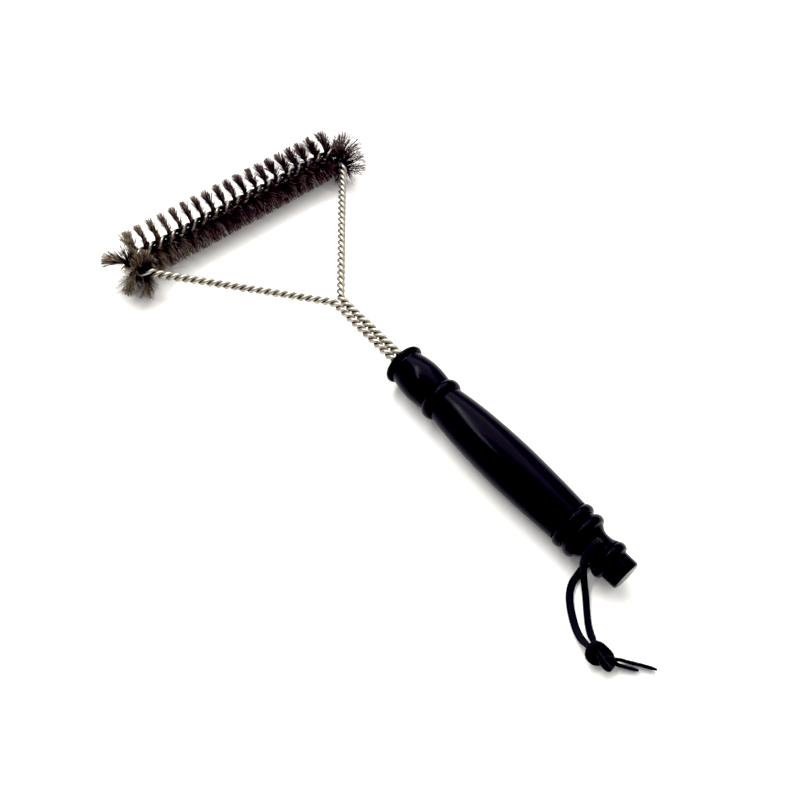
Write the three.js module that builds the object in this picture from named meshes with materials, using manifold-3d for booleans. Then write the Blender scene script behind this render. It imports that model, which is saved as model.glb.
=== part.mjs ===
// Three-sided grill cleaning brush: a turned plastic handle, one rope of two twisted steel wires
// bent into a triangle, bristles clamped between the wires along the front, and a hanging cord.
// Millimetres. +X runs from the handle to the brush head, +Z is up, and z = 0 is the table.
// The origin is under the middle of the brush, and the brush lies on its bristles and a handle bead.

import * as THREE from 'three';
import { mergeVertices } from 'three/addons/utils/BufferGeometryUtils.js';
import Module from 'manifold-3d';

const wasm = await Module();
wasm.setup();

// ---- Driving dimensions -------------------------------------------------------------------

const TOTAL_LENGTH = 305;         // end of the handle to the tips of the front bristles
const BRISTLE_RADIUS = 14.5;      // reach of a bristle from the middle of the core
const CORE_X = TOTAL_LENGTH - BRISTLE_RADIUS;

const WIRE_RADIUS = 1.05;
const ROPE_OFFSET = 1.25;         // wire centre from rope centre where nothing is between the wires
const CORE_OFFSET = 1.7;          // the same where the bristles are clamped between them
const ROPE_HALF_PITCH = 4.38;     // length of half a turn of the bare rope
const TUFT_PITCH = 7.08;          // length of half a turn of the straight bristled core
const STRAIGHT_TUFTS = 17;        // half turns along it
const CORNER_PITCH = 8.6;         // length of half a turn round a corner, where the twist opens
const CORNER_TUFTS = 3;           // half turns round each corner
const CORE_HALF = 65.4;           // from the middle of the core to the start of a corner bend
const CORNER_RADIUS = 5.5;        // bend of the rope at each end of the core
const SPLIT_X = 196.5;            // where the two ropes start to part, from the end of the handle
const SPLIT_RADIUS = 7;
const NECK_HALF_WIDTH = 2.6;      // rope centre from the brush's centre line in the neck
const MIDDLE_ANGLE = THREE.MathUtils.degToRad(68);   // bristle direction at the core's middle

const HANDLE_LENGTH = 148;
const SOCKET_DEPTH = 32;          // how far the ropes run into the handle
const SOCKET_CLEARANCE = 0.4;
const ROPE_END_GAP = 1.5;         // from the ends of the wires to the bottom of the socket
const CORD_HOLE_X = 17.5;
const CORD_HOLE_RADIUS = 2.6;
const BEAD_A = { x: 31.6, crest: 12.0, half: 2.6 };
const BEAD_B = { x: 25.4, crest: 11.75, half: 2.6 };
const BEAD_C = { x: 10.2, crest: 9.65, half: 2.4 };
const NECK_BEAD = { x: 118.8, crest: 11.4, half: 3.1 };
const FLANGE = { x: 146, crest: 10.95, half: 1.7 };

const CORD_RADIUS = 1.2;
const KNOT_RADII = { along: 6.6, across: 6.3, up: 5.0 };
const SOLID_GAP = 0.3;            // kept between neighbours that touch on the real brush

// The brush lies on the corner bristles and on the widest bead, which is smaller, so it is tipped.
const BRISTLE_CONTACT_X = CORE_X - 14;
const TILT = Math.asin((BRISTLE_RADIUS - BEAD_A.crest) / (BRISTLE_CONTACT_X - BEAD_A.x));

const STRAIGHT_HALF = (STRAIGHT_TUFTS * TUFT_PITCH) / 2;
const BRISTLED_HALF = STRAIGHT_HALF + CORNER_TUFTS * CORNER_PITCH;

// ---- Helpers ------------------------------------------------------------------------------

function toSolid(geometry) {
  const bare = geometry.clone();
  bare.deleteAttribute('normal');
  bare.deleteAttribute('uv');
  const merged = mergeVertices(bare, 1e-4);
  return new wasm.Manifold(new wasm.Mesh({
    numProp: 3,
    vertProperties: new Float32Array(merged.attributes.position.array),
    triVerts: new Uint32Array(merged.index.array),
  }));
}

function toGeometry(solid) {
  const mesh = solid.getMesh();
  const geometry = new THREE.BufferGeometry();
  geometry.setAttribute('position', new THREE.BufferAttribute(mesh.vertProperties, 3));
  geometry.setIndex(new THREE.BufferAttribute(mesh.triVerts, 1));
  geometry.computeVertexNormals();
  return geometry;
}

function named(name, geometry, material) {
  const mesh = new THREE.Mesh(geometry, material);
  mesh.name = name;
  return mesh;
}

function polygon(radius, sides) {
  const corners = [];
  for (let i = 0; i < sides; i += 1) {
    const angle = (2 * Math.PI * i) / sides;
    corners.push(new THREE.Vector2(radius * Math.cos(angle), radius * Math.sin(angle)));
  }
  return new THREE.Shape(corners);
}

function tube(curve, radius, sides, steps) {
  return new THREE.ExtrudeGeometry(polygon(radius, sides), {
    steps,
    bevelEnabled: false,
    extrudePath: curve,
  });
}

// ---- Handle -------------------------------------------------------------------------------

// Half an ellipse standing on `root`, listed from low x to high x as (radius, x) points.
function bead({ x, crest, half }, root, steps = 5) {
  const points = [];
  for (let i = 0; i <= steps; i += 1) {
    const angle = Math.PI * (1 - i / steps);
    points.push(new THREE.Vector2(root + (crest - root) * Math.sin(angle), x + half * Math.cos(angle)));
  }
  return points;
}

function smooth(knots, divisions) {
  return new THREE.SplineCurve(knots.map(([x, r]) => new THREE.Vector2(r, x))).getPoints(divisions);
}

// Outline of the turned handle from the middle of its end face to the middle of its front face.
function handleProfile() {
  const endCylinder = [[0, 6.2], [0.5, 7.0], [1.4, 7.4], [7.4, 7.5]].map(([x, r]) => new THREE.Vector2(r, x));
  const cove = smooth([[12.8, 8.8], [15, 7.8], [CORD_HOLE_X, 7.5], [20, 7.9], [22.4, 9.5]], 5);
  const grip = smooth([[34.6, 10.9], [52, 11.8], [72, 12.35], [93, 11.8], [106, 10.8], [115.2, 9.6]], 10);
  const barrel = smooth([[122.6, 9.7], [127, 10.4], [132, 10.8], [138, 10.4], [143.6, 9.3]], 5);
  return [
    new THREE.Vector2(0, 0),
    ...endCylinder,
    ...bead(BEAD_C, 8.1),
    ...cove,
    ...bead(BEAD_B, 9.9),
    ...bead(BEAD_A, 10.0),
    ...grip,
    ...bead(NECK_BEAD, 9.5),
    ...barrel,
    ...bead(FLANGE, 9.4),
    new THREE.Vector2(9.0, HANDLE_LENGTH),
    new THREE.Vector2(0, HANDLE_LENGTH),
  ];
}

// Slot with round ends that takes the two ropes side by side.
function socketCutter() {
  const reach = ROPE_OFFSET + WIRE_RADIUS + SOCKET_CLEARANCE;
  const slot = new THREE.Shape();
  slot.absarc(0, NECK_HALF_WIDTH, reach, 0, Math.PI);
  slot.absarc(0, -NECK_HALF_WIDTH, reach, Math.PI, 2 * Math.PI);
  const depth = SOCKET_DEPTH + 2;
  const cutter = new THREE.ExtrudeGeometry(slot, { depth, bevelEnabled: false, curveSegments: 8 });
  cutter.rotateY(Math.PI / 2);
  cutter.translate(HANDLE_LENGTH - SOCKET_DEPTH, 0, 0);
  return cutter;
}

function cordHoleCutter() {
  const cutter = new THREE.CylinderGeometry(CORD_HOLE_RADIUS, CORD_HOLE_RADIUS, 40, 16);
  cutter.rotateX(Math.PI / 2);
  cutter.translate(CORD_HOLE_X, 0, 0);
  return cutter;
}

function handleGeometry() {
  const turned = new THREE.LatheGeometry(handleProfile(), 24);
  turned.rotateZ(-Math.PI / 2);
  return toGeometry(toSolid(turned).subtract(toSolid(socketCutter())).subtract(toSolid(cordHoleCutter())));
}

// ---- Rope of two twisted wires ------------------------------------------------------------

// Angle of each arm to the handle: the line that touches the bend at the neck and the corner bend.
function armSlope() {
  const dx = CORE_X - CORNER_RADIUS - SPLIT_X;
  const dy = CORE_HALF - NECK_HALF_WIDTH - SPLIT_RADIUS;
  return Math.atan2(dy, dx) + Math.asin((SPLIT_RADIUS + CORNER_RADIUS) / Math.hypot(dx, dy));
}

// Centre line of the rope in the plane of the brush: out of the handle on the -Y side, along the
// -Y arm, round the corner, along the core towards +Y, and back the same way on the +Y side.
function ropePath() {
  const slope = armSlope();
  const right = Math.PI / 2;
  const innerX = HANDLE_LENGTH - SOCKET_DEPTH + ROPE_END_GAP;
  const cornerX = CORE_X - CORNER_RADIUS;
  const splitY = NECK_HALF_WIDTH + SPLIT_RADIUS;
  const path = new THREE.Path();
  path.moveTo(innerX, -NECK_HALF_WIDTH);
  path.lineTo(SPLIT_X, -NECK_HALF_WIDTH);
  path.absarc(SPLIT_X, -splitY, SPLIT_RADIUS, right, right - slope, true);
  path.absarc(cornerX, -CORE_HALF, CORNER_RADIUS, -right - slope, 0, false);
  path.absarc(cornerX, CORE_HALF, CORNER_RADIUS, 0, right + slope, false);
  path.absarc(SPLIT_X, splitY, SPLIT_RADIUS, slope - right, -right, true);
  path.lineTo(innerX, NECK_HALF_WIDTH);
  return path;
}

const ROPE = ropePath();
const ROPE_LENGTH = ROPE.getLength();

// A place on the rope at `s` from the middle of the core, and the two directions across the rope.
function ropeFrame(s) {
  const share = THREE.MathUtils.clamp(s / ROPE_LENGTH + 0.5, 0, 1);
  const point = ROPE.getPointAt(share);
  const tangent = ROPE.getTangentAt(share);
  return {
    centre: new THREE.Vector3(point.x, point.y, 0),
    side: new THREE.Vector3(-tangent.y, tangent.x, 0),
    up: new THREE.Vector3(0, 0, 1),
  };
}

// Half turns between the middle of the core and `s`. The rope is a left-handed helix all the way.
function halfTurns(s) {
  const straight = Math.min(Math.abs(s), STRAIGHT_HALF);
  const corner = Math.min(Math.abs(s), BRISTLED_HALF) - straight;
  const bare = Math.abs(s) - straight - corner;
  return Math.sign(s) * (straight / TUFT_PITCH + corner / CORNER_PITCH + bare / ROPE_HALF_PITCH);
}

// The opposite: the place on the rope that is `turns` half turns from the middle of the core.
function placeOfTurn(turns) {
  const straight = Math.min(Math.abs(turns), STRAIGHT_TUFTS / 2);
  return Math.sign(turns) * (straight * TUFT_PITCH + (Math.abs(turns) - straight) * CORNER_PITCH);
}

// Direction across the rope in which the bristles lie at `s`, from `side` towards `up`.
function bristleAngle(s) {
  return Math.PI - MIDDLE_ANGLE - Math.PI * halfTurns(s);
}

function wireOffset(s) {
  const blend = THREE.MathUtils.smoothstep(Math.abs(s), BRISTLED_HALF - 1, BRISTLED_HALF + 6);
  return THREE.MathUtils.lerp(CORE_OFFSET, ROPE_OFFSET, blend);
}

class WireCurve extends THREE.Curve {
  constructor(sign) {
    super();
    this.sign = sign;
    this.arcLengthDivisions = 4000;
  }

  getPoint(t, target = new THREE.Vector3()) {
    const s = (t - 0.5) * ROPE_LENGTH;
    const { centre, side, up } = ropeFrame(s);
    const angle = bristleAngle(s) + (this.sign * Math.PI) / 2;
    const offset = wireOffset(s);
    target.copy(centre);
    target.addScaledVector(side, offset * Math.cos(angle));
    return target.addScaledVector(up, offset * Math.sin(angle));
  }
}

function wireGeometry(sign) {
  const curve = new WireCurve(sign);
  const steps = Math.round(curve.getLength() / 1.85);
  return tube(curve, WIRE_RADIUS, 5, steps);
}

// ---- Bristles -----------------------------------------------------------------------------

// Section of one bristle layer across the rope: thin between the wires, fanned towards its tips.
function bowTie() {
  const waist = 0.33;
  const inner = 1.5;
  const fan = THREE.MathUtils.degToRad(18);
  const section = new THREE.Shape();
  section.moveTo(-inner, -waist);
  section.lineTo(inner, -waist);
  section.absarc(0, 0, BRISTLE_RADIUS, -fan, fan, false);
  section.lineTo(inner, waist);
  section.lineTo(-inner, waist);
  section.absarc(0, 0, BRISTLE_RADIUS, Math.PI - fan, Math.PI + fan, false);
  return section;
}

// Round a corner the inner bristles stop short of the middle of the bend, where they crowd.
function crowd(inward, s) {
  const free = 2.5;
  const squeeze = 0.1;
  const crowded = Math.min(inward, free + (inward - free) * squeeze);
  const share = THREE.MathUtils.smoothstep(Math.abs(s), CORE_HALF - 4, CORE_HALF);
  return THREE.MathUtils.lerp(inward, crowded, share);
}

// Half a turn of bristles from `from` to `to` along the rope, twisted and bent with the rope.
function tuftGeometry(from, to) {
  const length = to - from - SOLID_GAP;
  const start = from + SOLID_GAP / 2;
  const atCorner = Math.max(Math.abs(from), Math.abs(to)) > CORE_HALF;
  const geometry = new THREE.ExtrudeGeometry(bowTie(), {
    depth: length,
    steps: atCorner ? 6 : 5,
    bevelEnabled: false,
    curveSegments: 2,
  });
  const place = geometry.attributes.position;
  for (let i = 0; i < place.count; i += 1) {
    const s = start + place.getZ(i);
    const { centre, side, up } = ropeFrame(s);
    const angle = bristleAngle(s);
    const inward = place.getX(i) * Math.cos(angle) - place.getY(i) * Math.sin(angle);
    const upward = place.getX(i) * Math.sin(angle) + place.getY(i) * Math.cos(angle);
    centre.addScaledVector(side, crowd(inward, s));
    centre.addScaledVector(up, upward);
    place.setXYZ(i, centre.x, centre.y, centre.z);
  }
  geometry.computeVertexNormals();
  return geometry;
}

// Tufts are numbered from the -Y end of the bristles to the +Y end.
function bristleTufts() {
  const count = STRAIGHT_TUFTS + 2 * CORNER_TUFTS;
  const tufts = [];
  for (let i = 0; i < count; i += 1) {
    const from = placeOfTurn(i - count / 2);
    const to = placeOfTurn(i + 1 - count / 2);
    const number = String(i + 1).padStart(2, '0');
    const material = new THREE.MeshStandardMaterial({ color: 0x2a1d1a, roughness: 0.55, metalness: 0.3 });
    tufts.push(named(`bristle_tuft_${number}`, tuftGeometry(from, to), material));
  }
  return tufts;
}

// ---- Hanging cord -------------------------------------------------------------------------
// Cord points are [x from the end of the handle, y, z above the table], as the cord lies.

const KNOT_CENTRE = [-15.9, 32.0, 5.2];

// From the knot along the table, up through the hole in the handle, over the cove and back.
const LOOP_ROUTE = [
  [-8.3, 32.4, 4.2],
  [-5.2, 31.5, 2.6],
  [-1.3, 29.9, 1.5],
  [5.4, 25.9, 1.4],
  [11.6, 20.6, 1.4],
  [14.9, 15.4, 1.4],
  [16.0, 10.6, 1.4],
  [16.7, 6.6, 1.5],
  [17.2, 3.4, 1.8],
  [17.5, 1.1, 3.0],
  [17.5, 0.1, 5.4],
  [17.5, 0.0, 11.4],
  [17.5, 0.0, 17.4],
  [17.5, 0.7, 20.4],
  [17.4, 3.2, 21.9],
  [17.3, 6.6, 20.5],
  [17.0, 9.0, 16.4],
  [16.2, 9.9, 11.4],
  [14.2, 10.6, 7.0],
  [11.2, 12.2, 3.4],
  [7.2, 15.3, 1.6],
  [1.3, 20.8, 1.4],
  [-3.4, 24.9, 1.6],
  [-6.6, 27.2, 2.9],
  [-8.9, 28.7, 4.3],
];

const LONG_TAIL_ROUTE = [
  [-21.2, 26.4, 3.2],
  [-24.2, 23.8, 1.8],
  [-28.6, 20.5, 1.3],
  [-34.2, 16.8, 1.3],
];

const SHORT_TAIL_ROUTE = [
  [-22.6, 29.3, 3.2],
  [-24.6, 27.6, 1.9],
  [-26.8, 25.7, 1.3],
  [-30.0, 23.3, 1.3],
];

function cordTube(route, steps) {
  const points = route.map((point) => new THREE.Vector3(...point));
  return tube(new THREE.CatmullRomCurve3(points, false, 'centripetal'), CORD_RADIUS, 8, steps);
}

function knotGeometry() {
  const knot = new THREE.SphereGeometry(1, 16, 12);
  knot.scale(KNOT_RADII.along, KNOT_RADII.across, KNOT_RADII.up);
  knot.translate(...KNOT_CENTRE);
  return knot;
}

// ---- Materials ----------------------------------------------------------------------------

function plastic() {
  return new THREE.MeshStandardMaterial({ color: 0x0b0a0b, roughness: 0.22, metalness: 0 });
}

function steel() {
  return new THREE.MeshStandardMaterial({ color: 0xb9b4a8, roughness: 0.32, metalness: 1 });
}

function braid() {
  return new THREE.MeshStandardMaterial({ color: 0x0d0c0d, roughness: 0.85, metalness: 0 });
}

// ---- Assembly -----------------------------------------------------------------------------

// Everything rigid is built with x from the end of the handle and z = 0 on the handle's axis.
const rigid = new THREE.Group();
rigid.rotation.y = -TILT;
rigid.position.set(-TOTAL_LENGTH / 2, 0, BRISTLE_RADIUS - BRISTLE_CONTACT_X * Math.sin(TILT));
rigid.add(
  named('handle', handleGeometry(), plastic()),
  named('wire_a', wireGeometry(1), steel()),
  named('wire_b', wireGeometry(-1), steel()),
  ...bristleTufts(),
);

const cord = new THREE.Group();
cord.position.x = -TOTAL_LENGTH / 2;
cord.add(
  named('cord_loop', cordTube(LOOP_ROUTE, 44), braid()),
  named('cord_knot', knotGeometry(), braid()),
  named('cord_tail_long', cordTube(LONG_TAIL_ROUTE, 6), braid()),
  named('cord_tail_short', cordTube(SHORT_TAIL_ROUTE, 5), braid()),
);

const brush = new THREE.Group();
brush.add(rigid, cord);

export default brush;
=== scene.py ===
import math

import bpy
import numpy as np
from mathutils import Matrix, Vector


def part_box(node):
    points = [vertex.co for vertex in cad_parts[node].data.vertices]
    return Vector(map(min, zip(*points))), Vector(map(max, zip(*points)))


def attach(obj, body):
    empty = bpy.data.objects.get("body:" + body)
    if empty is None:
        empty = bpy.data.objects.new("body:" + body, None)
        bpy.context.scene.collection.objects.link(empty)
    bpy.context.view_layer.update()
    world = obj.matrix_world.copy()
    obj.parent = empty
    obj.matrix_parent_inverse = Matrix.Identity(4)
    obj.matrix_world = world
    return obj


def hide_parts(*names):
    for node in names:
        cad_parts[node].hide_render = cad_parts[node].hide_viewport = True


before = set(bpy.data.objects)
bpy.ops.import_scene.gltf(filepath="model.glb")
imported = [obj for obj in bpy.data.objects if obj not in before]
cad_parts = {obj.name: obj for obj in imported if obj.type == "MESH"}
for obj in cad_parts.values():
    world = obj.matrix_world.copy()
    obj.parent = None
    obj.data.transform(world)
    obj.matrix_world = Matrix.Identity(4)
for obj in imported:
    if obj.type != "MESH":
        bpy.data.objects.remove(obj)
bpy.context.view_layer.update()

# ---- Sizes in millimetres, in the brush's own frame ----------------------------------------
# x runs from the end of the handle to the head, and z = 0 is the handle's axis. The sizes are
# the CAD model's, except that the wire is a little thicker here, and the two wires of a rope and
# the two ropes of the neck lie closer together. Where the model lies comes from its boxes.

MM = 0.001
BRISTLE_RADIUS = 14.5            # reach of a bristle from the middle of the core
WIRE_RADIUS = 1.15
ROPE_OFFSET = 1.1                # wire centre from rope centre in the bare rope
CORE_OFFSET = 1.5                # the same where bristles lie between the wires
ROPE_HALF_PITCH = 4.38           # length of half a turn of the bare rope
TUFT_PITCH = 7.08                # length of half a turn of the straight bristled core
STRAIGHT_TUFTS = 17              # half turns along it
CORNER_PITCH = 8.6               # length of half a turn round a corner
CORNER_TUFTS = 3                 # half turns round each corner
CORE_HALF = 65.4                 # from the middle of the core to the start of a corner bend
CORNER_RADIUS = 5.5
SPLIT_X = 196.5                  # where the two ropes start to part
SPLIT_RADIUS = 7.0
NECK_HALF_WIDTH = 2.12           # rope centre from the brush's centre line in the neck
MIDDLE_ANGLE = math.radians(68)  # bristle direction at the core's middle
HANDLE_LENGTH = 148.0
SOCKET_DEPTH = 32.0
ROPE_END_GAP = 1.5               # from the ends of the wires to the bottom of the socket
CORD_HOLE_X = 17.5
CORD_HOLE_RADIUS = 2.6
BEAD_A_X = 31.6                  # the widest bead, which the brush rests on
BEAD_A_CREST = 12.0
CONTACT_SETBACK = 14.0           # from the core back to the corner bristles it rests on

TUFT_COUNT = STRAIGHT_TUFTS + 2 * CORNER_TUFTS
STRAIGHT_HALF = STRAIGHT_TUFTS * TUFT_PITCH / 2
BRISTLED_HALF = STRAIGHT_HALF + CORNER_TUFTS * CORNER_PITCH

# The tuft in the middle of the core reaches furthest forward, and the row frame's origin is at
# half of the brush's length.
TOTAL_LENGTH = 2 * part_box("bristle_tuft_12")[1].x / MM
CORE_X = TOTAL_LENGTH - BRISTLE_RADIUS
BRISTLE_CONTACT_X = CORE_X - CONTACT_SETBACK
TILT = math.asin((BRISTLE_RADIUS - BEAD_A_CREST) / (BRISTLE_CONTACT_X - BEAD_A_X))
ORIGIN = np.array([-TOTAL_LENGTH / 2, 0.0, BRISTLE_RADIUS - BRISTLE_CONTACT_X * math.sin(TILT)])


def lie_down(points):
    """Points of the brush's own frame, in the row frame, in metres."""
    p = np.asarray(points, float).reshape(-1, 3)
    c, s = math.cos(TILT), math.sin(TILT)
    x = p[:, 0] * c - p[:, 2] * s
    z = p[:, 0] * s + p[:, 2] * c
    return (np.stack([x, p[:, 1], z], 1) + ORIGIN) * MM


# ---- Camera --------------------------------------------------------------------------------

CAMERA_AZIMUTH = math.radians(-133.5)
CAMERA_ELEVATION = math.radians(55.35)
CAMERA_ROLL = math.radians(3.3)
CAMERA_DISTANCE = 0.4367
CAMERA_TARGET = (-0.0208, 0.0151, 0.012)
CAMERA_LENS = 40.7


def make_camera():
    back = Vector((
        math.sin(CAMERA_AZIMUTH) * math.cos(CAMERA_ELEVATION),
        -math.cos(CAMERA_AZIMUTH) * math.cos(CAMERA_ELEVATION),
        math.sin(CAMERA_ELEVATION),
    ))
    data = bpy.data.cameras.new("camera")
    data.lens = CAMERA_LENS
    data.sensor_width = 36.0
    data.clip_start = 0.01
    camera = bpy.data.objects.new("camera", data)
    camera.location = Vector(CAMERA_TARGET) + back * CAMERA_DISTANCE
    turn = (-back).to_track_quat("-Z", "Y").to_matrix() @ Matrix.Rotation(CAMERA_ROLL, 3, "Z")
    camera.rotation_euler = turn.to_euler()
    bpy.context.collection.objects.link(camera)
    bpy.context.scene.camera = camera


# ---- Mesh helpers --------------------------------------------------------------------------

def new_piece(name, vertices, faces, material, uv=None):
    """A smooth-shaded piece of the brush. `uv` holds one texture point for each vertex."""
    mesh = bpy.data.meshes.new(name)
    mesh.from_pydata([tuple(v) for v in vertices], [], faces)
    mesh.update()
    mesh.shade_smooth()
    if uv is not None:
        layer = mesh.uv_layers.new(name="UVMap")
        layer.data.foreach_set("uv", uv[corner_vertices(mesh)].ravel())
    mesh.materials.append(material)
    piece = bpy.data.objects.new(name, mesh)
    bpy.context.collection.objects.link(piece)
    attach(piece, "root")
    return piece


def add_attribute(piece, name, values):
    attribute = piece.data.attributes.new(name, "FLOAT", "POINT")
    attribute.data.foreach_set("value", values.astype(np.float32))


def corner_vertices(mesh):
    """The vertex of each face corner."""
    order = np.zeros(len(mesh.loops), int)
    mesh.loops.foreach_get("vertex_index", order)
    return order


def unit(v):
    return v / np.maximum(np.linalg.norm(v, axis=-1, keepdims=True), 1e-12)


def swept(centres, across, section):
    """Rings of a tube along `centres`. `across` is each ring's first direction, and `section` is
    an (n, 2) outline or one outline for each ring. Returns vertices and quad faces with end caps."""
    tangent = unit(np.gradient(centres, axis=0))
    first = unit(across - (across * tangent).sum(1, keepdims=True) * tangent)
    second = np.cross(tangent, first)
    section = np.broadcast_to(section, (len(centres),) + section.shape[-2:])
    rings = (
        centres[:, None]
        + section[:, :, :1] * first[:, None]
        + section[:, :, 1:] * second[:, None]
    )
    n, m = rings.shape[:2]
    faces = []
    for i in range(n - 1):
        for j in range(m):
            k = (j + 1) % m
            faces.append((i * m + j, i * m + k, (i + 1) * m + k, (i + 1) * m + j))
    faces.append(tuple(range(m - 1, -1, -1)))
    faces.append(tuple(range((n - 1) * m, n * m)))
    return rings.reshape(-1, 3), faces


def circle(radius, sides):
    a = np.arange(sides) * 2 * math.pi / sides
    return np.stack([radius * np.cos(a), radius * np.sin(a)], 1)


# ---- Material helpers ----------------------------------------------------------------------

class Nodes:
    """A short way to write a node tree."""

    def __init__(self, name):
        self.material = bpy.data.materials.new(name)
        self.material.use_nodes = True
        self.tree = self.material.node_tree
        self.tree.nodes.clear()
        surface = self.tree.nodes.new("ShaderNodeOutputMaterial").inputs["Surface"]
        self.shader = self.tree.nodes.new("ShaderNodeBsdfPrincipled")
        self.tree.links.new(self.shader.outputs["BSDF"], surface)

    def feed(self, socket, value):
        """Links another node's output to a socket, or gives the socket a constant."""
        if isinstance(value, bpy.types.NodeSocket):
            self.tree.links.new(value, socket)
        else:
            socket.default_value = value

    def add(self, kind, values=None, **settings):
        node = self.tree.nodes.new(kind)
        for key, value in settings.items():
            setattr(node, key, value)
        for key, value in (values or {}).items():
            self.feed(node.inputs[key], value)
        return node

    def set(self, **values):
        """Feeds the shader's own sockets."""
        for key, value in values.items():
            self.feed(self.shader.inputs[key.replace("_", " ")], value)

    def ramp(self, factor, stops):
        node = self.add("ShaderNodeValToRGB", {"Fac": factor})
        band = node.color_ramp
        while len(band.elements) < len(stops):
            band.elements.new(0.5)
        for element, (position, colour) in zip(band.elements, stops):
            element.position = position
            element.color = (*colour, 1.0)
        return node.outputs["Color"]

    def noise(self, vector, scale, detail=3.0, roughness=0.6):
        values = {"Vector": vector, "Scale": scale, "Detail": detail, "Roughness": roughness}
        return self.add("ShaderNodeTexNoise", values).outputs["Fac"]

    def bump(self, height, strength, distance):
        values = {"Height": height, "Strength": strength, "Distance": distance}
        return self.add("ShaderNodeBump", values).outputs["Normal"]

    def object_point(self, stretch=(1, 1, 1)):
        point = self.add("ShaderNodeTexCoord").outputs["Object"]
        return self.add("ShaderNodeMapping", {"Vector": point, "Scale": stretch}).outputs["Vector"]

    def range(self, value, low, high):
        """Takes 0 to `low` and 1 to `high`."""
        values = {"Value": value, "To Min": low, "To Max": high}
        return self.add("ShaderNodeMapRange", values).outputs["Result"]

    def fold(self, value, size):
        """Runs up to `size` and back again."""
        values = {0: value, 1: size}
        return self.add("ShaderNodeMath", values, operation="PINGPONG").outputs["Value"]

    def attribute(self, name):
        return self.add("ShaderNodeAttribute", attribute_name=name).outputs["Fac"]

    def mix(self, factor, a, b, blend="MIX"):
        """Mixes two colours. A factor of None mixes them fully."""
        node = self.add("ShaderNodeMix", data_type="RGBA", blend_type=blend)
        node.inputs["Factor"].default_value = 1.0
        for key, value in (("Factor", factor), ("A", a), ("B", b)):
            if value is not None:
                self.tree.links.new(value, node.inputs[key])
        return node.outputs["Result"]


def plastic_material():
    """Glossy black moulded plastic with a faint cloudiness and drag lines along the handle."""
    n = Nodes("black_plastic")
    cloud = n.noise(n.object_point(), 60)
    fine = n.noise(n.object_point((1, 6, 6)), 900, detail=4)
    colour = n.ramp(cloud, [(0.3, (0.0010, 0.0007, 0.0018)), (0.75, (0.0022, 0.0014, 0.0036))])
    roughness = n.range(n.noise(n.object_point((2, 14, 14)), 140, detail=5), 0.15, 0.23)
    n.set(Base_Color=colour, Roughness=roughness, Normal=n.bump(fine, 0.03, 0.0002))
    n.set(Specular_IOR_Level=0.038)
    return n.material


def steel_material():
    """Drawn wire, painted darker on the side that faces into the rope: painted shade where the two
    wires meet. Around the wire, 0 faces out of the rope and 0.5 faces the other wire.
    """
    n = Nodes("drawn_steel")
    uv = n.add("ShaderNodeTexCoord").outputs["UV"]
    drawn = n.add("ShaderNodeMapping", {"Vector": uv, "Scale": (60, 9, 1)}).outputs["Vector"]
    scratches = n.noise(drawn, 8, detail=6, roughness=0.7)
    around = n.add("ShaderNodeSeparateXYZ", {"Vector": uv}).outputs["X"]
    inward = n.fold(n.fold(around, 1.0), 0.5)
    blotch = n.noise(n.object_point(), 130, detail=4)
    metal = n.ramp(blotch, [(0.25, (0.33, 0.31, 0.255)), (0.7, (0.55, 0.52, 0.44))])
    # The side of each wire that faces into the rope is painted darker here: painted shade between the
    # wires.
    painted_crevice_shade = [(0.18, (1, 1, 1)), (0.33, (0.36, 0.32, 0.27)), (0.44, (0.07, 0.06, 0.05))]
    colour = n.mix(None, metal, n.ramp(inward, painted_crevice_shade), "MULTIPLY")
    roughness = n.range(scratches, 0.27, 0.48)
    n.set(Base_Color=colour, Metallic=1.0, Roughness=roughness)
    n.set(Specular_Tint=(0.30, 0.29, 0.26, 1.0))
    n.set(Normal=n.bump(scratches, 0.12, 0.0001))
    return n.material


def bristle_material():
    """Dark at the roots and lighter at the tips, which are tan towards the +y corner, pink at
    the -y corner and wine-brown between."""
    n = Nodes("bristle")
    tip = n.attribute("tip")
    shade = n.attribute("shade")
    root_colour = n.ramp(shade, [(0.0, (0.003, 0.0015, 0.002)), (1.0, (0.020, 0.011, 0.012))])
    wine = [(0.0, (0.016, 0.008, 0.0095)), (0.6, (0.055, 0.031, 0.032)), (0.9, (0.17, 0.115, 0.095))]
    tan = [(0.0, (0.045, 0.028, 0.018)), (0.6, (0.16, 0.12, 0.075)), (0.9, (0.36, 0.30, 0.20))]
    pink = [(0.0, (0.045, 0.023, 0.024)), (0.6, (0.15, 0.09, 0.085)), (0.9, (0.34, 0.25, 0.23))]
    middle = n.ramp(shade, wine + [(1.0, (0.34, 0.26, 0.19))])
    left = n.mix(n.attribute("left"), middle, n.ramp(shade, tan + [(1.0, (0.55, 0.48, 0.34))]))
    tip_colour = n.mix(n.attribute("right"), left, n.ramp(shade, pink + [(1.0, (0.45, 0.34, 0.28))]))
    reach = n.ramp(tip, [(0.35, (0, 0, 0)), (1.0, (1, 1, 1))])
    colour = n.mix(reach, root_colour, tip_colour)
    n.set(Base_Color=colour, Metallic=0.0, Roughness=0.55, Specular_IOR_Level=0.15)
    return n.material


def braid_material():
    n = Nodes("black_braid")
    shade = n.attribute("shade")
    # The plait's grooves are painted darker than its crests: painted shade in the grooves.
    colour = n.ramp(shade, [(0.0, (0.0008, 0.0008, 0.001)), (1.0, (0.0045, 0.004, 0.005))])
    fuzz = n.noise(n.object_point(), 3500, detail=4)
    n.set(Base_Color=colour, Roughness=0.8, Normal=n.bump(fuzz, 0.25, 0.0001))
    n.set(Sheen_Weight=0.04, Sheen_Roughness=0.4, Specular_IOR_Level=0.12)
    return n.material


def floor_material():
    n = Nodes("studio_floor")
    n.set(Base_Color=(0.94, 0.92, 0.885, 1), Roughness=0.9, Specular_IOR_Level=0.1)
    return n.material


# ---- Cord ----------------------------------------------------------------------------------
# Points are [x from the end of the handle, y, z above the table], in millimetres.

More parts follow.
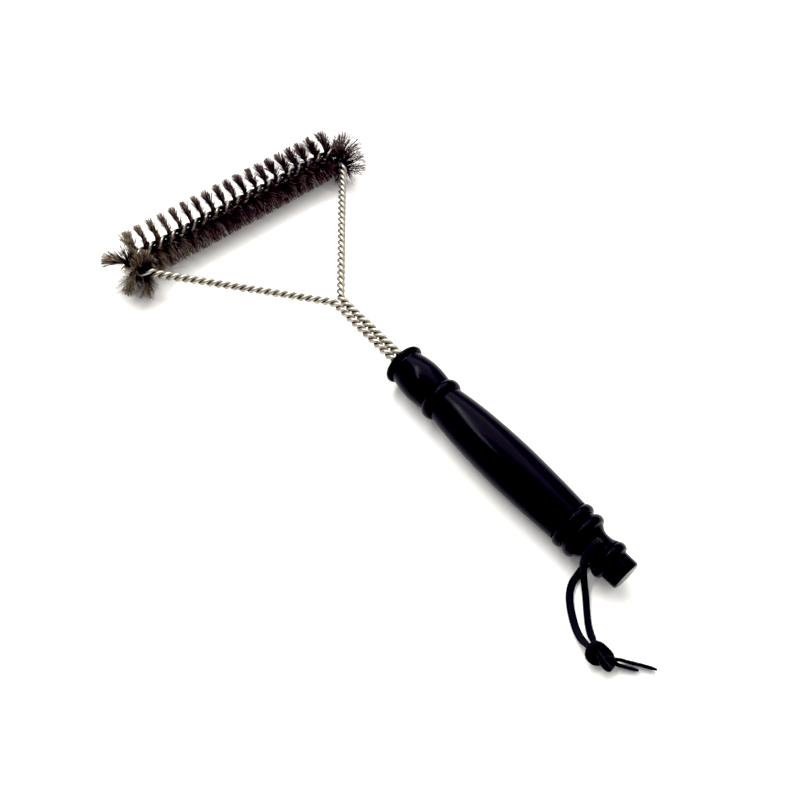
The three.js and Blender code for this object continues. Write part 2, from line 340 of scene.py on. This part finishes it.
CORD_WIDTH = 3.4
CORD_THICKNESS = 1.6
CORD_STEP = 0.22      # spacing of the points along the cord's line
KNOT_SQUEEZE = 0.93   # thickness of the cord in the knot, as a share of its own
KNOT_WIDENING = 0.18  # how much wider it gets there
TABLE_LIE = 0.25      # how far a strand that lies on the table sinks below its route
LYING_BELOW = 4.0     # a route point under this height lies on the table

LOOP_ROUTE = [
    (-8.3, 32.4, 4.2),
    (-5.2, 31.5, 2.6),
    (-1.3, 29.9, 1.5),
    (5.4, 25.9, 1.4),
    (11.6, 20.6, 1.4),
    (14.9, 15.4, 1.4),
    (16.0, 10.6, 1.4),
    (16.7, 6.6, 1.5),
    (17.2, 3.4, 1.8),
    (17.5, 1.1, 3.0),
    (17.5, 0.1, 5.4),
    (17.5, 0.0, 11.4),
    (17.5, 0.0, 17.4),
    (17.5, 0.7, 20.4),
    (17.4, 3.2, 21.9),
    (17.3, 6.6, 20.5),
    (17.0, 9.0, 16.4),
    (16.2, 9.9, 11.4),
    (14.2, 10.6, 7.0),
    (11.2, 12.2, 3.4),
    (7.2, 15.3, 1.6),
    (1.3, 20.8, 1.4),
    (-3.4, 24.9, 1.6),
    (-6.6, 27.2, 2.9),
    (-8.9, 28.7, 4.3),
]
LONG_TAIL_ROUTE = [(-21.2, 26.4, 3.2), (-24.2, 23.8, 1.8), (-28.6, 20.5, 1.3), (-34.2, 16.8, 1.3)]
SHORT_TAIL_ROUTE = [(-22.2, 28.5, 3.2), (-24.2, 26.8, 1.9), (-26.4, 25.1, 1.3), (-29.5, 23.0, 1.3)]
HOLE_MIDDLE = (17.5, 0.0, 11.4)
HOLE_REACH = 7.5      # from the handle's axis to the mouths of the hole
KNOT_CENTRE = (-15.7, 31.9, 5.0)
KNOT_PRESS = 0.86     # length of the knot, as a share of what it is tied to
KNOT_AXIS = (-0.955, -0.29, -0.06)
LANE_STEP = 3         # every third point of the knot's line guides a half of the cord
TAIL_EDGE = (-0.60, 0.70, -0.38)  # direction of the cord's thickness in the tails


def through(points, step):
    """A smooth line through given points (centripetal Catmull-Rom), at an even step."""
    p = np.asarray(points, float)
    p = np.vstack([2 * p[0] - p[1], p, 2 * p[-1] - p[-2]])
    knots = np.concatenate([[0], np.cumsum(np.sqrt(np.linalg.norm(np.diff(p, axis=0), axis=1)))])
    line = []
    for i in range(1, len(p) - 2):
        t = np.linspace(knots[i], knots[i + 1], 24, endpoint=False)[:, None]
        t0, t1, t2, t3 = knots[i - 1:i + 3]
        a1 = (t1 - t) / (t1 - t0) * p[i - 1] + (t - t0) / (t1 - t0) * p[i]
        a2 = (t2 - t) / (t2 - t1) * p[i] + (t - t1) / (t2 - t1) * p[i + 1]
        a3 = (t3 - t) / (t3 - t2) * p[i + 1] + (t - t2) / (t3 - t2) * p[i + 2]
        b1 = (t2 - t) / (t2 - t0) * a1 + (t - t0) / (t2 - t0) * a2
        b2 = (t3 - t) / (t3 - t1) * a2 + (t - t1) / (t3 - t1) * a3
        line.append((t2 - t) / (t2 - t1) * b1 + (t - t1) / (t2 - t1) * b2)
    line = np.vstack(line + [p[-2:-1]])
    along = np.concatenate([[0], np.cumsum(np.linalg.norm(np.diff(line, axis=0), axis=1))])
    even = np.linspace(0, along[-1], max(2, round(along[-1] / step)))
    return np.stack([np.interp(even, along, line[:, k]) for k in range(3)], 1)


def on_table(points):
    """Cord points in the row frame, in metres."""
    return (np.asarray(points, float) + (-TOTAL_LENGTH / 2, 0, 0)) * MM


def transported(line, start):
    """A direction carried along a line, turning no more than the line does."""
    tangent = unit(np.gradient(line, axis=0))
    carried = np.zeros_like(line)
    current = np.asarray(start, float)
    for i, t in enumerate(tangent):
        current = unit(current - np.dot(current, t) * t)
        carried[i] = current
    return carried


def tied_knot():
    """The middle line of a tight overhand knot in a doubled cord. A loose knot is drawn tight:
    each round smooths it, shortens its links and pushes its turns one doubled thickness apart."""
    count, rounds, free_ends = 84, 1100, 7
    width = 2 * CORD_THICKNESS * KNOT_SQUEEZE
    t = np.linspace(-2.15, 2.15, count)
    loose = np.stack([t ** 3 - 3 * t, t ** 4 - 4 * t ** 2 + 1.5, 0.35 * (t ** 5 - 10 * t)], 1)
    line = np.stack([loose[:, 1], loose[:, 2], loose[:, 0]], 1) * width * 1.05
    spacing = np.linalg.norm(np.diff(line, axis=0), axis=1).mean()
    apart = np.abs(np.subtract.outer(np.arange(count), np.arange(count)))
    for k in range(rounds):
        link = spacing * (1 - 0.62 * min(1, 1.25 * k / rounds))
        line[1:-1] += 0.10 * (line[2:] + line[:-2] - 2 * line[1:-1])
        for _ in range(3):
            step = np.diff(line, axis=0)
            length = np.linalg.norm(step, axis=1, keepdims=True)
            pull = step * (1 - link / length) * 0.45
            line[:-1] += pull
            line[1:] -= pull
        between = line[:, None] - line[None]
        distance = np.linalg.norm(between, axis=2) + np.eye(count)
        touching = apart > max(2, math.ceil(1.35 * width / link))
        push = np.clip(width - distance, 0, None) * touching
        line += (between / distance[..., None] * push[..., None]).sum(1) * 0.35
    return line[free_ends:-free_ends]


def placed_knot():
    """The knot turned so that it runs along KNOT_AXIS, its broad side flat, and set on the table."""
    line = tied_knot()
    ahead = unit(line[-1] - line[0])
    chord = (line[-1] + line[0]) / 2
    bulge = line.mean(0) - chord
    bulge = unit(bulge - np.dot(bulge, ahead) * ahead)
    own = np.stack([ahead, bulge, np.cross(ahead, bulge)])
    axis = unit(np.array(KNOT_AXIS))
    sideways = unit(np.cross(axis, (0, 0, 1)))
    world = np.stack([axis, sideways, np.cross(axis, sideways)])
    pressed = ((line - line.mean(0)) @ own.T) * (KNOT_PRESS, 1.0, 1.0)
    return pressed @ world + KNOT_CENTRE, sideways


def cord_half(strand, tail, side, knot, sideways):
    """The line of one half of the cord, from the middle of its hole, along a strand, through the
    knot and out as a tail, with the direction of its thickness all along and the knot's place."""
    beside = transported(knot, sideways)
    gap = CORD_THICKNESS * KNOT_SQUEEZE / 2
    lane = knot + beside * gap * side
    strand = np.array(strand)
    strand[:, 2] -= TABLE_LIE * (strand[:, 2] < LYING_BELOW)
    line = through(np.vstack([strand, lane[::LANE_STEP], tail]), CORD_STEP)
    knotted = nearest(line, lane[0]), nearest(line, lane[-1])
    tangent = unit(np.gradient(line, axis=0))
    across = thickness_way(line, tangent, lane, beside, knotted)
    line[:, 2] += table_lift(line, across, np.cross(tangent, across))
    return line, across, knotted


def thickness_way(line, tangent, lane, beside, knotted):
    """The direction of the cord's thickness along its line. It is carried along the strand, points
    to the other half of the cord in the knot, and is given in the tail."""
    ease_in, ease_out = 34, 22
    carried = transported(line, (0.0, 1.0, 0.0))
    other = np.cross(tangent, carried)
    wanted = [(nearest(line, lane[k]), beside[k]) for k in range(0, len(lane), LANE_STEP)]
    wanted += [(knotted[1] + ease_out, TAIL_EDGE), (len(line) - 1, TAIL_EDGE)]
    stations, angles = [0, knotted[0] - ease_in], [0.0, 0.0]
    for at, way in wanted:
        stations.append(at)
        angles.append(math.atan2(np.dot(way, other[at]), np.dot(way, carried[at])))
    order = np.argsort(stations, kind="stable")
    angles = np.unwrap(np.array(angles)[order], period=math.pi)
    turn = np.interp(np.arange(len(line)), np.array(stations)[order], angles)
    turn = np.convolve(np.pad(turn, 8, mode="edge"), np.ones(17) / 17, mode="valid")[:, None]
    return carried * np.cos(turn) + other * np.sin(turn)


def table_lift(line, across, beside):
    """How far the cord has to rise, evenly along it, for no part of it to be in the table."""
    margin, window = 1.12, 25
    half_height = np.hypot(CORD_THICKNESS / 2 * across[:, 2], CORD_WIDTH / 2 * beside[:, 2])
    lift = np.clip(margin * half_height - line[:, 2], 0, None)
    padded = np.pad(lift, window - 1, mode="edge")
    highest = np.lib.stride_tricks.sliding_window_view(padded, window).max(axis=1)
    return np.convolve(highest, np.ones(window) / window, mode="valid")


def nearest(line, point):
    return int(np.argmin(np.linalg.norm(line - point, axis=1)))


def braid_relief(place, a):
    """The plait's herringbone ribs at places along the cord and angles round it: 0 in a groove
    and 1 on a crest."""
    rib_length = 1.35
    chevron = np.abs(((a[None] / math.pi * 4) % 2) - 1)
    along = place[:, None] * CORD_STEP / rib_length
    ribs = np.abs(np.sin(math.pi * (along + 0.9 * chevron)))
    valley = 1 - 0.75 * (1 - chevron) ** 6
    return ribs ** 0.7 * valley


def braided_cord(name, line, across, material, knotted):
    """A flat plaited cord: its ribs are real relief on the surface, it is squeezed and widened
    in the knot, and it is narrower at its cut end."""
    sides, ease = 40, 25
    a = np.arange(sides) * 2 * math.pi / sides
    place = np.arange(len(line))
    relief = braid_relief(place, a)
    lift = 1 + 0.10 * (relief - 0.7)
    into_knot = smoothstep(place, knotted[0] - ease, knotted[0])
    tight = into_knot * (1 - smoothstep(place, knotted[1], knotted[1] + ease))
    squeeze = 1 - (1 - KNOT_SQUEEZE) * tight
    wide = 1 + KNOT_WIDENING * tight
    from_end = (len(line) - 1 - place) * CORD_STEP
    worn = 0.62 + 0.38 * smoothstep(from_end, 0.0, 2.4)
    half_w = CORD_WIDTH / 2 * (wide * worn)[:, None]
    half_t = CORD_THICKNESS / 2 * (squeeze * worn)[:, None]
    x = half_t * np.sign(np.cos(a)) * np.abs(np.cos(a)) ** 0.75
    y = half_w * np.sign(np.sin(a)) * np.abs(np.sin(a)) ** 0.85
    rings, faces = swept(line, across, np.stack([x * lift, y * lift], 2))
    piece = new_piece(name, on_table(rings), faces, material)
    # The material uses this relief to paint the grooves darker than the crests: painted shade.
    add_attribute(piece, "shade", relief.ravel())
    return piece


def make_cord(material):
    knot, sideways = placed_knot()
    middle = LOOP_ROUTE.index(HOLE_MIDDLE)
    halves = [
        ("hang_cord_lower", LOOP_ROUTE[middle::-1], SHORT_TAIL_ROUTE, 1, -1, "cord_tail_short"),
        ("hang_cord_upper", LOOP_ROUTE[middle:], LONG_TAIL_ROUTE, -1, 1, "cord_tail_long"),
    ]
    half_gap = 0.05
    for name, strand, tail, side, up, tail_node in halves:
        line, across, knotted = cord_half(strand, tail, side, knot, sideways)
        line[0, 2] += half_gap * up
        cord = braided_cord(name, line, across, material, knotted)
        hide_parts("cord_loop", "cord_knot", tail_node)


# ---- Handle --------------------------------------------------------------------------------

def smooth_outline(knots, step=0.6):
    """(x, r) points of a smooth stretch of the handle's outline."""
    return through([(x, r, 0) for x, r in knots], step)[:, :2]


def bead_outline(x, crest, half, root, count=18):
    """(x, r) points of a bead: its middle, its crest's radius, its half width and its root's."""
    a = math.pi * (1 - np.arange(count + 1) / count)
    return np.stack([x + half * np.cos(a), root + (crest - root) * np.sin(a)], 1)


def rounded(points, radius, count=6):
    """Replaces the corner in the middle of three (x, r) points with an arc-like curve."""
    a, b, c = (np.asarray(p, float) for p in points)
    start = b + unit(a - b) * radius
    end = b + unit(c - b) * radius
    t = np.linspace(0, 1, count)[:, None]
    return (1 - t) ** 2 * start + 2 * t * (1 - t) * b + t ** 2 * end


def handle_outline():
    """The handle's (x, r) outline from its end to its front: end cylinder, small bead, cove, two
    close beads, grip, neck bead, barrel and flange."""
    cove = [(12.8, 8.8), (15, 7.8), (CORD_HOLE_X, 7.5), (20, 7.9), (22.4, 9.5)]
    grip = [(34.6, 10.9), (52, 11.8), (72, 12.35), (93, 11.8), (106, 10.8), (115.2, 9.6)]
    barrel = [(122.6, 9.7), (127, 10.4), (132, 10.8), (138, 10.4), (143.6, 9.3)]
    return np.vstack([
        [(0, 0), (0, 2), (0, 4.5)],
        rounded([(0, 0), (0, 7.4), (7, 7.5)], 1.3, 8),
        [(4.5, 7.47), (7.2, 7.5)],
        bead_outline(10.2, 9.65, 2.4, 8.1),
        smooth_outline(cove),
        bead_outline(25.4, 11.75, 2.6, 9.9),
        bead_outline(BEAD_A_X, BEAD_A_CREST, 2.6, 10.0),
        smooth_outline(grip, 1.5),
        bead_outline(118.8, 11.4, 3.1, 9.5),
        smooth_outline(barrel),
        bead_outline(146, 10.95, 1.7, 9.4),
        rounded([(147.8, 9.4), (HANDLE_LENGTH, 9.0), (HANDLE_LENGTH, 6)], 0.5, 4),
        [(HANDLE_LENGTH, 7.0), (HANDLE_LENGTH, 0)],
    ])


def lathe(outline, sides):
    """A solid of revolution about x, from an outline that starts and ends on the axis."""
    inner = outline[1:-1]
    a = np.arange(sides) * 2 * math.pi / sides
    rings = np.stack([
        np.repeat(inner[:, :1], sides, 1),
        inner[:, 1:] * np.sin(a),
        inner[:, 1:] * np.cos(a),
    ], 2).reshape(-1, 3)
    start, end = len(rings), len(rings) + 1
    vertices = np.vstack([rings, [(outline[0][0], 0, 0)], [(outline[-1][0], 0, 0)]])
    faces = []
    for i in range(len(inner) - 1):
        for j in range(sides):
            k = (j + 1) % sides
            faces.append((i * sides + j, (i + 1) * sides + j, (i + 1) * sides + k, i * sides + k))
    last = (len(inner) - 1) * sides
    for j in range(sides):
        k = (j + 1) % sides
        faces.append((start, j, k))
        faces.append((end, last + k, last + j))
    return vertices, faces


def cutter(vertices, faces):
    mesh = bpy.data.meshes.new("cutter")
    mesh.from_pydata([tuple(v) for v in lie_down(vertices)], [], faces)
    mesh.update()
    tool = bpy.data.objects.new("cutter", mesh)
    bpy.context.collection.objects.link(tool)
    return tool


def cut(piece, tool):
    modifier = piece.modifiers.new("cut", "BOOLEAN")
    modifier.operation = "DIFFERENCE"
    modifier.object = tool
    modifier.solver = "EXACT"
    with bpy.context.temp_override(object=piece, active_object=piece):
        bpy.ops.object.modifier_apply(modifier="cut")
    bpy.data.objects.remove(tool)


def cord_hole_cutter():
    """A drill along z through the cove, flared at both mouths so that the rim is rounded."""
    flare_depth, beyond = 1.2, 9.5
    straight = HOLE_REACH - flare_depth
    z = np.concatenate([np.linspace(-beyond, -straight, 8), np.linspace(straight, beyond, 8)])
    flare = 0.16 * np.maximum(0, np.abs(z) - straight) ** 2
    outline = np.stack([z, CORD_HOLE_RADIUS + flare], 1)
    outline = np.vstack([[(z[0], 0)], outline, [(z[-1], 0)]])
    vertices, faces = lathe(outline, 48)
    turned = np.stack([vertices[:, 2] + CORD_HOLE_X, vertices[:, 1], vertices[:, 0]], 1)
    return cutter(turned, [f[::-1] for f in faces])


def socket_cutter():
    """The slot in the handle's front face that holds the two ropes side by side."""
    clearance = 0.5
    reach = ROPE_OFFSET + WIRE_RADIUS + clearance
    a = np.linspace(0, math.pi, 16)
    right = np.stack([reach * np.cos(a), NECK_HALF_WIDTH + reach * np.sin(a)], 1)
    outline = np.vstack([right, -right])
    line = np.array([(HANDLE_LENGTH - SOCKET_DEPTH, 0.0, 0.0), (HANDLE_LENGTH + 2, 0.0, 0.0)])
    across = np.tile((0.0, 0.0, 1.0), (2, 1))
    vertices, faces = swept(line, across, outline * (1, -1))
    return cutter(vertices, [f[::-1] for f in faces])


def make_handle(material):
    vertices, faces = lathe(handle_outline(), 128)
    handle = new_piece("handle_body", lie_down(vertices), faces, material)
    cut(handle, cord_hole_cutter())
    cut(handle, socket_cutter())
    handle.data.shade_smooth()
    handle.data.set_sharp_from_angle(angle=math.radians(38))
    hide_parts("handle")


# ---- Rope ----------------------------------------------------------------------------------

def rope_legs():
    """The rope's centre line as (length, curvature) legs from one wire end to the other."""
    dx = CORE_X - CORNER_RADIUS - SPLIT_X
    dy = CORE_HALF - NECK_HALF_WIDTH - SPLIT_RADIUS
    slope = math.atan2(dy, dx) + math.asin((SPLIT_RADIUS + CORNER_RADIUS) / math.hypot(dx, dy))
    arm = math.sqrt(dx * dx + dy * dy - (SPLIT_RADIUS + CORNER_RADIUS) ** 2)
    neck = SPLIT_X - (HANDLE_LENGTH - SOCKET_DEPTH + ROPE_END_GAP)
    corner = CORNER_RADIUS * (math.pi / 2 + slope)
    half = [
        (neck, 0.0),
        (SPLIT_RADIUS * slope, -1 / SPLIT_RADIUS),
        (arm, 0.0),
        (corner, 1 / CORNER_RADIUS),
    ]
    return half + [(2 * CORE_HALF, 0.0)] + half[::-1]


LEGS = rope_legs()
ROPE_LENGTH = sum(length for length, _ in LEGS)


def rope_centre(s):
    """Points and headings of the rope's centre line at `s` from the middle of the core."""
    s = np.atleast_1d(np.asarray(s, float)) + ROPE_LENGTH / 2
    x, y, heading, done = SPLIT_X - LEGS[0][0], -NECK_HALF_WIDTH, 0.0, 0.0
    px, py, ph = np.zeros_like(s), np.zeros_like(s), np.zeros_like(s)
    for length, bend in LEGS:
        here = s >= done - 1e-9
        t = s[here] - done
        turned = heading + bend * t
        if bend:
            px[here] = x + (np.sin(turned) - math.sin(heading)) / bend
            py[here] = y - (np.cos(turned) - math.cos(heading)) / bend
            x += (math.sin(heading + bend * length) - math.sin(heading)) / bend
            y -= (math.cos(heading + bend * length) - math.cos(heading)) / bend
        else:
            px[here] = x + t * math.cos(heading)
            py[here] = y + t * math.sin(heading)
            x += length * math.cos(heading)
            y += length * math.sin(heading)
        ph[here] = turned
        heading += bend * length
        done += length
    return np.stack([px, py, np.zeros_like(px)], 1), ph


def rope_frame(s):
    """Centre, sideways direction (to the left of the way it runs) and up, at `s`."""
    centre, heading = rope_centre(s)
    side = np.stack([-np.sin(heading), np.cos(heading), np.zeros_like(heading)], 1)
    up = np.tile((0.0, 0.0, 1.0), (len(centre), 1))
    return centre, side, up


def bristle_angle(s):
    """Direction of the bristles across the rope at `s`. The rope is a left-handed helix."""
    straight = np.minimum(np.abs(s), STRAIGHT_HALF)
    corner = np.minimum(np.abs(s), BRISTLED_HALF) - straight
    bare = np.abs(s) - straight - corner
    half_turns = straight / TUFT_PITCH + corner / CORNER_PITCH + bare / ROPE_HALF_PITCH
    return math.pi - MIDDLE_ANGLE - math.pi * np.sign(s) * half_turns


def place_of_turn(turns):
    """The place on the rope that is `turns` half turns from the middle of the core."""
    straight = np.minimum(np.abs(turns), STRAIGHT_TUFTS / 2)
    return np.sign(turns) * (straight * TUFT_PITCH + (np.abs(turns) - straight) * CORNER_PITCH)


def smoothstep(value, low, high):
    t = np.clip((value - low) / (high - low), 0, 1)
    return t * t * (3 - 2 * t)


def make_wire(name, sign, node, material):
    step, sides = 0.42, 16
    s = np.arange(-ROPE_LENGTH / 2, ROPE_LENGTH / 2, step)
    centre, side, up = rope_frame(s)
    angle = bristle_angle(s) + sign * math.pi / 2
    blend = smoothstep(np.abs(s), BRISTLED_HALF - 1, BRISTLED_HALF + 6)
    offset = (CORE_OFFSET + (ROPE_OFFSET - CORE_OFFSET) * blend)[:, None]
    radial = side * np.cos(angle)[:, None] + up * np.sin(angle)[:, None]
    line = centre + radial * offset
    rings, faces = swept(line, radial, circle(WIRE_RADIUS, sides))
    along = np.repeat(s / 10, sides)
    around = np.tile(np.arange(sides) / sides, len(s))
    uv = np.stack([around, along], 1)
    wire = new_piece(name, lie_down(rings), faces, material, uv=uv)
    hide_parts(node)


# ---- Bristles ------------------------------------------------------------------------------

BRISTLES_PER_TUFT = 230
FULL_CORNER_BRISTLES = 330  # in each half turn of the +y corner
WORN_CORNER_BRISTLES = 220  # in each half turn of the -y corner
BRISTLE_THICKNESS = 0.24
BRISTLE_POINTS = 9          # along each bristle's line
GATHERED_SHARE = 0.72       # of the bristles, which bunch in the middle of their half turn
CROWDING_LIMIT = 5.0        # how far the bristles reach on the inside of a corner bend


def bristle_fan(rng, number):
    """Centre points of every bristle of one half turn, as an (n, steps, 3) array, with the steps
    from tip to tip and each bristle's shade.

    A bristle is one filament that passes between the wires and stands out on both sides."""
    at_corner = min(number, TUFT_COUNT - 1 - number) < CORNER_TUFTS
    n = BRISTLES_PER_TUFT
    if at_corner:
        n = FULL_CORNER_BRISTLES if number > TUFT_COUNT / 2 else WORN_CORNER_BRISTLES
    wild = 1.8 if at_corner else 1.0
    locked = 0.5 + 0.5 * np.tanh(rng.normal(0, 0.62, n)) * 0.98
    place = np.where(rng.random(n) < GATHERED_SHARE, locked, rng.random(n))
    s = place_of_turn(number - TUFT_COUNT / 2 + place)
    steps = np.linspace(-1, 1, BRISTLE_POINTS)
    centre, side, up = rope_frame(s)
    _, heading = rope_centre(s)
    along = np.stack([np.cos(heading), np.sin(heading), np.zeros_like(heading)], 1)
    angle = bristle_angle(s)
    lines = np.zeros((n, len(steps), 3))
    for half in (-1, 1):
        here = steps * half >= 0
        reach = BRISTLE_RADIUS * (0.985 - np.abs(rng.normal(0, 0.035, n)))
        spread = rng.normal(0, 0.075, n) * wild
        lean = rng.normal(0, 0.085, n) * wild
        curl = rng.normal(0, 0.05, n) * wild
        for k in np.flatnonzero(here):
            r = abs(steps[k])
            turn = angle + (spread + curl * r) * smoothstep(r, 0.05, 0.5)
            out = half * reach * r
            inward = out * np.cos(turn)
            upward = out * np.sin(turn)
            bent = np.where(inward > 0, corner_crowding(s, inward), inward)
            lines[:, k] = (
                centre
                + side * bent[:, None]
                + up * upward[:, None]
                + along * (lean * reach * r * r)[:, None]
            )
    return lines, steps, rng.random(n)


def corner_crowding(s, inward):
    """Bristles on the inside of a corner bend are held short of the bend's middle."""
    at_corner = smoothstep(np.abs(s), CORE_HALF - 2, CORE_HALF + 3)
    squeezed = CROWDING_LIMIT * np.tanh(inward / CROWDING_LIMIT)
    return inward + (squeezed - inward) * at_corner


def make_bristles(number, rng, material):
    lines, steps, shade = bristle_fan(rng, number)
    n, m = lines.shape[:2]
    sides = 4
    tangent = unit(np.gradient(lines, axis=1))
    first = unit(np.cross(tangent, (0.31, 0.52, 0.79)))
    second = np.cross(tangent, first)
    a = np.arange(sides) * 2 * math.pi / sides
    radius = BRISTLE_THICKNESS / 2 * (1 - 0.25 * steps ** 2)
    ring = first[:, :, None] * np.cos(a)[:, None] + second[:, :, None] * np.sin(a)[:, None]
    vertices = lines[:, :, None] + ring * radius[None, :, None, None]
    index = np.arange(n * m * sides).reshape(n, m, sides)
    faces = []
    for b in range(n):
        for i in range(m - 1):
            for j in range(sides):
                k = (j + 1) % sides
                faces.append((index[b, i, j], index[b, i, k], index[b, i + 1, k], index[b, i + 1, j]))
        faces.append(tuple(index[b, 0, ::-1]))
        faces.append(tuple(index[b, -1]))
    name = f"bristles_{number + 1:02d}"
    piece = new_piece(name, lie_down(vertices.reshape(-1, 3)), faces, material)
    y = vertices[..., 1].ravel()
    add_attribute(piece, "tip", np.tile(np.repeat(np.abs(steps), sides), n))
    add_attribute(piece, "shade", np.repeat(shade, m * sides))
    add_attribute(piece, "left", smoothstep(y, -5, CORE_HALF + 20))
    add_attribute(piece, "right", smoothstep(-y, CORE_HALF - 6, CORE_HALF + 14))
    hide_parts(f"bristle_tuft_{number + 1:02d}")


# ---- Studio --------------------------------------------------------------------------------

FLOOR_HALF = 6.0
FLOOR_DROP = 0.0002


def area_light(name, location, size, power):
    """A rectangular light that faces the middle of the floor."""
    data = bpy.data.lights.new(name, "AREA")
    data.shape = "RECTANGLE"
    data.size, data.size_y = size
    data.energy = power
    light = bpy.data.objects.new(name, data)
    light.location = location
    light.rotation_euler = (-location).to_track_quat("-Z", "Y").to_euler()
    bpy.context.collection.objects.link(light)


def make_floor():
    mesh = bpy.data.meshes.new("floor")
    corners = [(-1, -1), (1, -1), (1, 1), (-1, 1)]
    vertices = [(x * FLOOR_HALF, y * FLOOR_HALF, 0) for x, y in corners]
    mesh.from_pydata(vertices, [], [(0, 1, 2, 3)])
    mesh.materials.append(floor_material())
    floor = bpy.data.objects.new("floor", mesh)
    floor.location.z = -FLOOR_DROP
    bpy.context.collection.objects.link(floor)


def make_studio():
    """A broad soft light, a narrow one for the long highlight on the grip, and deep blacks."""
    make_floor()
    make_sky()
    area_light("narrow", Vector((0.432, 0.149, 0.890)) * 1.2, (0.9, 0.05), 7.0)
    area_light("broad", Vector((0.432, -0.363, 0.826)) * 1.3, (1.2, 1.2), 17.0)
    view = bpy.context.scene.view_settings
    view.view_transform = "Standard"
    view.use_curve_mapping = True
    view.curve_mapping.black_level = (0.0150, 0.0160, 0.0115)
    view.curve_mapping.update()


def make_sky():
    """A white ceiling, brightest above the far side of the brush and darker towards the walls."""
    world = bpy.data.worlds.new("studio")
    world.use_nodes = True
    tree = world.node_tree
    background = tree.nodes["Background"]
    looking = tree.nodes.new("ShaderNodeTexCoord")
    height = tree.nodes.new("ShaderNodeVectorMath")
    height.operation = "DOT_PRODUCT"
    height.inputs[1].default_value = (0.36, -0.34, 0.87)
    ramp = tree.nodes.new("ShaderNodeValToRGB")
    tree.links.new(looking.outputs["Generated"], height.inputs[0])
    tree.links.new(height.outputs["Value"], ramp.inputs["Fac"])
    tree.links.new(ramp.outputs["Color"], background.inputs["Color"])
    stops = [(0.0, (0.15, 0.15, 0.16, 1)), (0.85, (1, 1, 1, 1))]
    for element, (position, colour) in zip(ramp.color_ramp.elements, stops):
        element.position = position
        element.color = colour
    background.inputs["Strength"].default_value = 1.45
    bpy.context.scene.world = world


# ---- Assembly ------------------------------------------------------------------------------

make_camera()
make_cord(braid_material())
make_handle(plastic_material())
steel = steel_material()
make_wire("wire_a_drawn", 1, "wire_a", steel)
make_wire("wire_b_drawn", -1, "wire_b", steel)
bristle = bristle_material()
random_source = np.random.default_rng(12)
for tuft_number in range(TUFT_COUNT):
    make_bristles(tuft_number, random_source, bristle)
make_studio()
